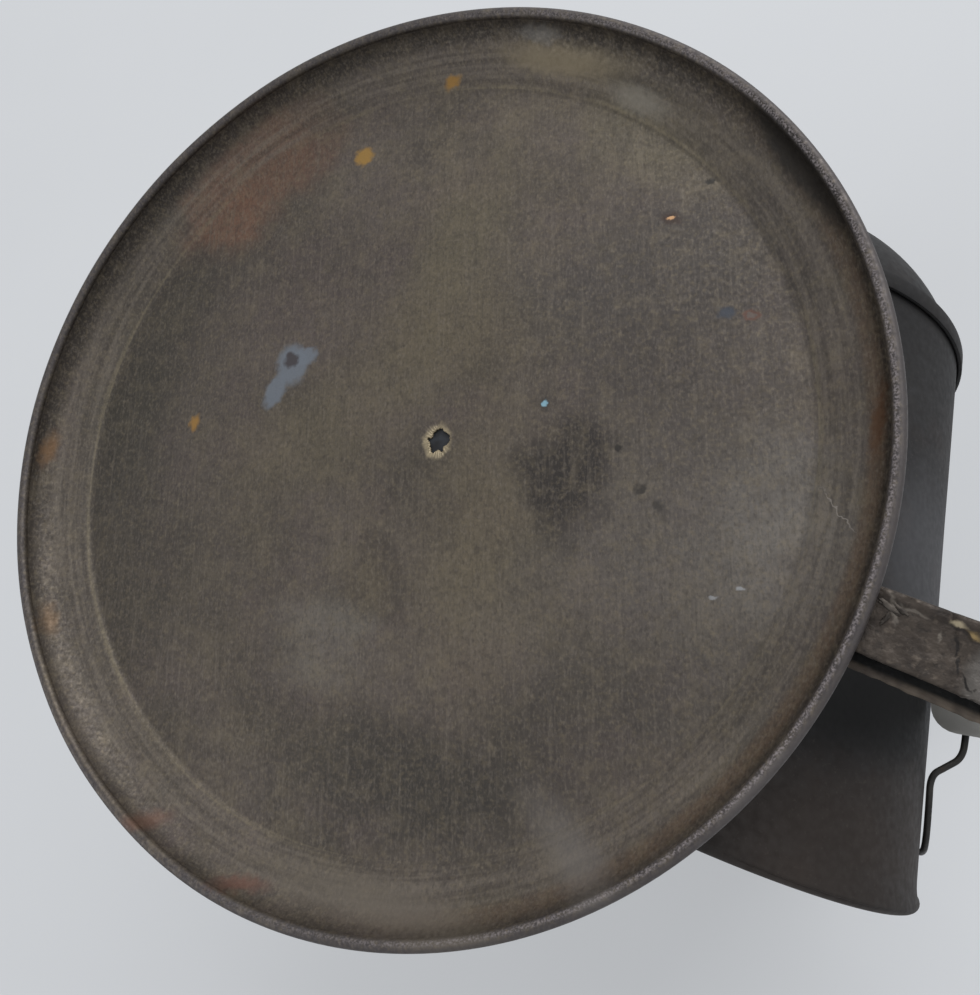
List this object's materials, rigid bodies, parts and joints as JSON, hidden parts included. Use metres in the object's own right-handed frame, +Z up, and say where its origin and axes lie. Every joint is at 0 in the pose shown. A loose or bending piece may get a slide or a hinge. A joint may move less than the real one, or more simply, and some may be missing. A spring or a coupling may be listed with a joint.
{
  "type": "food mill",
  "caption": "Hand-cranked tin food mill: sloping barrel with slanted feed mouth, capped crank end and sieve, on saddle feet, under a round lift-off feed pan with a side handle.",
  "frame": {"origin": "on the floor under the middle of the pan, at the centre of the post foot's underside", "axes": "+Z up; +Y along the barrel seen from above, from the slanted mouth to the domed cap; +X to the side of the pan handle"},
  "size_m": [0.3593, 0.2934, 0.2416],
  "materials": {
    "pan_tin": "tarnished tinplate, dull",
    "handle_tin": "tarnished tinplate, pitted",
    "barrel_tin": "dark blue-grey tinplate",
    "stand_tin": "worn tinplate",
    "strap_tin": "pale tinplate",
    "iron": "dull iron",
    "bush_brass": "dull brass",
    "solder": "soft solder",
    "knob_wood": "worn turned wood"
  },
  "bodies": {
    "mill": {"barrel": "barrel_tin", "mouth_bead": "barrel_tin", "barrel_seam": "barrel_tin", "sieve_panel": "stand_tin", "spider": "stand_tin", "spider_bush": "bush_brass", "front_foot": "stand_tin", "rear_foot": "stand_tin", "front_stay": "stand_tin", "rear_stay": "stand_tin", "post_foot": "stand_tin", "pan_post": "iron", "handle_rest": "strap_tin", "rest_wire": "iron"},
    "cap": {"cap_dome": "barrel_tin", "cap_flange": "barrel_tin", "cap_bush": "bush_brass"},
    "crank": {"shaft": "iron", "thrust_collar": "iron", "paddle_1": "iron", "paddle_2": "iron", "paddle_3": "iron", "crank_arm": "iron", "crank_nut": "iron", "knob_pin": "iron"},
    "knob": {"crank_knob": "knob_wood"},
    "pan": {"pan_body": "pan_tin", "pan_rim_wire": "pan_tin", "pan_socket": "stand_tin", "handle_top": "handle_tin", "handle_sole": "handle_tin", "handle_solder": "solder"}
  },
  "joints": [
    {"name": "cap_pull", "type": "slide", "parent": "mill", "child": "cap", "axis": [0, 0.9824, -0.1867], "range_m": [0, 0.09]},
    {"name": "crank_turn", "type": "hinge", "parent": "cap", "child": "crank", "pos_m": [0.0758, 0.09408, 0.10716], "axis": [0, 0.9824, -0.1867], "continuous": true},
    {"name": "knob_spin", "type": "hinge", "parent": "crank", "child": "knob", "pos_m": [0.0758, 0.14487, 0.02626], "axis": [0, 0.9824, -0.1867], "continuous": true},
    {"name": "pan_lift", "type": "slide", "parent": "mill", "child": "pan", "axis": [0, 0, 1], "range_m": [0, 0.05]}
  ]
}
